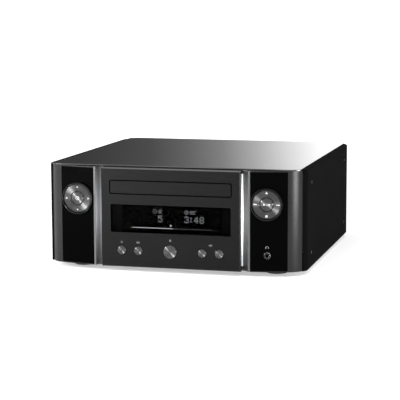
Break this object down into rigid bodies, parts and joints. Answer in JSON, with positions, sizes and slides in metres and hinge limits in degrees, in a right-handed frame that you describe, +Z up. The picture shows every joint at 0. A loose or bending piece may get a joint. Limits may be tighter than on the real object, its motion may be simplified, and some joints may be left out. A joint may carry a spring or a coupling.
{
  "type": "cd receiver",
  "caption": "Compact disc receiver: glossy black case with bowed front wings, four-way dials, a display, push buttons, a motor-driven disc tray and rear sockets.",
  "frame": {"origin": "middle of the footprint, on the surface that the feet stand on", "axes": "+X to the viewer's right, +Y to the rear, +Z up; the front faces -Y"},
  "size_m": [0.28, 0.303, 0.111],
  "materials": {
    "gloss_top": "high gloss black top plate",
    "black_case": "satin black painted steel sheet",
    "zinc_steel": "zinc-plated steel",
    "black_plastic": "matt black moulding",
    "foot_rubber": "matt black rubber",
    "circuit_board": "green circuit board with parts",
    "gloss_fascia": "gloss black moulding",
    "gloss_inlay": "deep gloss black inlay",
    "satin_silver": "satin metallic grey",
    "clear_guide": "clear light guide",
    "dark_aluminium": "black anodised, finely brushed",
    "display_black": "smoked gloss window",
    "display_glass": "display glass",
    "dial_chrome": "bright chrome ring",
    "white_plastic": "natural white gear plastic",
    "dial_black": "dark gloss pad",
    "dial_metal": "spun dark metal",
    "bright_steel": "ground steel",
    "lens_clear": "coated lens",
    "sink_aluminium": "plain aluminium",
    "jack_brass": "nickel-plated brass",
    "button_metal": "spun dark metal",
    "cap_black": "black moulded cap",
    "cap_red": "red moulded cap"
  },
  "bodies": {
    "housing": {"top_plate": "gloss_top", "cover": "black_case", "chassis": "zinc_steel", "rear_panel": "black_case", "feet": "black_plastic", "foot_pads": "foot_rubber", "front_frame": "black_plastic", "front_board": "circuit_board", "wing_left": "gloss_fascia", "wing_right": "gloss_fascia", "inlay_left": "gloss_inlay", "inlay_right": "gloss_inlay", "cheek_left": "satin_silver", "cheek_right": "satin_silver", "light_guides": "clear_guide", "centre_panel": "dark_aluminium", "display_window": "display_black", "display_module": "display_glass", "dial_bezels": "dial_chrome", "phones_jack": "dial_chrome", "loader_frame": "black_plastic", "loading_belt": "foot_rubber", "loading_motor": "zinc_steel", "traverse_plate": "zinc_steel", "guide_rods": "bright_steel", "spindle_motor": "zinc_steel", "sled_motor": "zinc_steel", "clamp_bridge": "zinc_steel", "power_supply": "circuit_board", "main_board": "circuit_board", "heat_sink": "sink_aluminium", "power_inlet": "black_plastic", "speaker_terminals": "black_plastic", "rear_jacks": "jack_brass", "network_jack": "zinc_steel"},
    "tray": {"disc_tray": "black_plastic", "tray_door": "gloss_fascia"},
    "loading_gear": {"loading_gear": "white_plastic"},
    "pulley_gear": {"pulley_gear": "white_plastic"},
    "motor_pulley": {"motor_pulley": "white_plastic"},
    "turntable": {"turntable": "black_plastic"},
    "clamp_puck": {"clamp_puck": "black_plastic"},
    "sled": {"sled": "black_plastic"},
    "lens": {"lens": "lens_clear"},
    "lead_screw": {"lead_screw": "bright_steel"},
    "gimbal_left": {"gimbal_left": "white_plastic"},
    "gimbal_right": {"gimbal_right": "white_plastic"},
    "pad_left": {"pad_left": "dial_black"},
    "pad_right": {"pad_right": "dial_black"},
    "enter_button": {"enter_button": "dial_metal"},
    "play_button": {"play_button": "dial_metal"},
    "standby_button": {"standby_button": "button_metal"},
    "source_button": {"source_button": "button_metal"},
    "open_button": {"open_button": "button_metal"},
    "volume_down_button": {"volume_down_button": "button_metal"},
    "volume_up_button": {"volume_up_button": "button_metal"},
    "cap_left_black": {"cap_left_black": "cap_black"},
    "cap_left_red": {"cap_left_red": "cap_red"},
    "cap_right_black": {"cap_right_black": "cap_black"},
    "cap_right_red": {"cap_right_red": "cap_red"}
  },
  "joints": [
    {"name": "tray_slide", "type": "slide", "parent": "housing", "child": "tray", "axis": [0, -1, 0], "range_m": [0, 0.135]},
    {"name": "loading_gear_turn", "type": "hinge", "parent": "housing", "child": "loading_gear", "pos_m": [0.0368, -0.113, 0.08], "axis": [0, 0, 1], "range_deg": [-586.98, 1]},
    {"name": "pulley_gear_turn", "type": "hinge", "parent": "housing", "child": "pulley_gear", "pos_m": [0.017, -0.113, 0.076], "axis": [0, 0, 1], "range_deg": [-1, 1256.67]},
    {"name": "motor_pulley_turn", "type": "hinge", "parent": "housing", "child": "motor_pulley", "pos_m": [-0.0206, -0.113, 0.073], "axis": [0, 0, 1], "range_deg": [-1, 4317.37]},
    {"name": "turntable_spin", "type": "hinge", "parent": "housing", "child": "turntable", "pos_m": [0, -0.0811, 0.084], "axis": [0, 0, 1], "continuous": true},
    {"name": "clamp_spin", "type": "hinge", "parent": "housing", "child": "clamp_puck", "pos_m": [0, -0.0811, 0.098], "axis": [0, 0, 1], "continuous": true},
    {"name": "sled_slide", "type": "slide", "parent": "housing", "child": "sled", "axis": [0, 1, 0], "range_m": [0, 0.035]},
    {"name": "lead_screw_turn", "type": "hinge", "parent": "housing", "child": "lead_screw", "pos_m": [-0.011, -0.028, 0.0665], "axis": [0, 1, 0], "range_deg": [-1, 4201]},
    {"name": "lens_focus", "type": "slide", "parent": "sled", "child": "lens", "axis": [0, 0, 1], "range_m": [-0.0004, 0.0004], "stiffness_N_per_m": 60},
    {"name": "standby_button_press", "type": "slide", "parent": "housing", "child": "standby_button", "axis": [0, 1, 0], "range_m": [0, 0.0007], "stiffness_N_per_m": 900, "springref_m": -0.0012},
    {"name": "source_button_press", "type": "slide", "parent": "housing", "child": "source_button", "axis": [0, 1, 0], "range_m": [0, 0.0007], "stiffness_N_per_m": 900, "springref_m": -0.0012},
    {"name": "open_button_press", "type": "slide", "parent": "housing", "child": "open_button", "axis": [0, 1, 0], "range_m": [0, 0.0007], "stiffness_N_per_m": 900, "springref_m": -0.0012},
    {"name": "volume_down_button_press", "type": "slide", "parent": "housing", "child": "volume_down_button", "axis": [0, 1, 0], "range_m": [0, 0.0007], "stiffness_N_per_m": 900, "springref_m": -0.0012},
    {"name": "volume_up_button_press", "type": "slide", "parent": "housing", "child": "volume_up_button", "axis": [0, 1, 0], "range_m": [0, 0.0007], "stiffness_N_per_m": 900, "springref_m": -0.0012},
    {"name": "gimbal_left_tilt", "type": "hinge", "parent": "housing", "child": "gimbal_left", "pos_m": [-0.1019, -0.1425, 0.0756], "axis": [1, 0, 0], "range_deg": [-1.5, 1.5], "stiffness_Nm_per_rad": 0.6},
    {"name": "pad_left_tilt", "type": "hinge", "parent": "gimbal_left", "child": "pad_left", "pos_m": [-0.1019, -0.1425, 0.0756], "axis": [0, 0, 1], "range_deg": [-1.5, 1.5], "stiffness_Nm_per_rad": 0.6},
    {"name": "enter_button_press", "type": "slide", "parent": "housing", "child": "enter_button", "axis": [0, 1, 0], "range_m": [0, 0.0007], "stiffness_N_per_m": 900, "springref_m": -0.0012},
    {"name": "gimbal_right_tilt", "type": "hinge", "parent": "housing", "child": "gimbal_right", "pos_m": [0.1019, -0.1425, 0.0756], "axis": [1, 0, 0], "range_deg": [-1.5, 1.5], "stiffness_Nm_per_rad": 0.6},
    {"name": "pad_right_tilt", "type": "hinge", "parent": "gimbal_right", "child": "pad_right", "pos_m": [0.1019, -0.1425, 0.0756], "axis": [0, 0, 1], "range_deg": [-1.5, 1.5], "stiffness_Nm_per_rad": 0.6},
    {"name": "play_button_press", "type": "slide", "parent": "housing", "child": "play_button", "axis": [0, 1, 0], "range_m": [0, 0.0007], "stiffness_N_per_m": 900, "springref_m": -0.0012},
    {"name": "cap_left_black_turn", "type": "hinge", "parent": "housing", "child": "cap_left_black", "pos_m": [-0.0625, 0.145, 0.038], "axis": [0, 1, 0], "range_deg": [0, 1080]},
    {"name": "cap_left_red_turn", "type": "hinge", "parent": "housing", "child": "cap_left_red", "pos_m": [-0.0435, 0.145, 0.038], "axis": [0, 1, 0], "range_deg": [0, 1080]},
    {"name": "cap_right_black_turn", "type": "hinge", "parent": "housing", "child": "cap_right_black", "pos_m": [-0.0245, 0.145, 0.038], "axis": [0, 1, 0], "range_deg": [0, 1080]},
    {"name": "cap_right_red_turn", "type": "hinge", "parent": "housing", "child": "cap_right_red", "pos_m": [-0.0055, 0.145, 0.038], "axis": [0, 1, 0], "range_deg": [0, 1080]}
  ],
  "couplings": [
    {"joint": "loading_gear_turn", "follows": "tray_slide", "rad_per_m": -75.758},
    {"joint": "pulley_gear_turn", "follows": "tray_slide", "rad_per_m": 162.34},
    {"joint": "motor_pulley_turn", "follows": "tray_slide", "rad_per_m": 558.04},
    {"joint": "lead_screw_turn", "follows": "sled_slide", "rad_per_m": 2094.4}
  ]
}
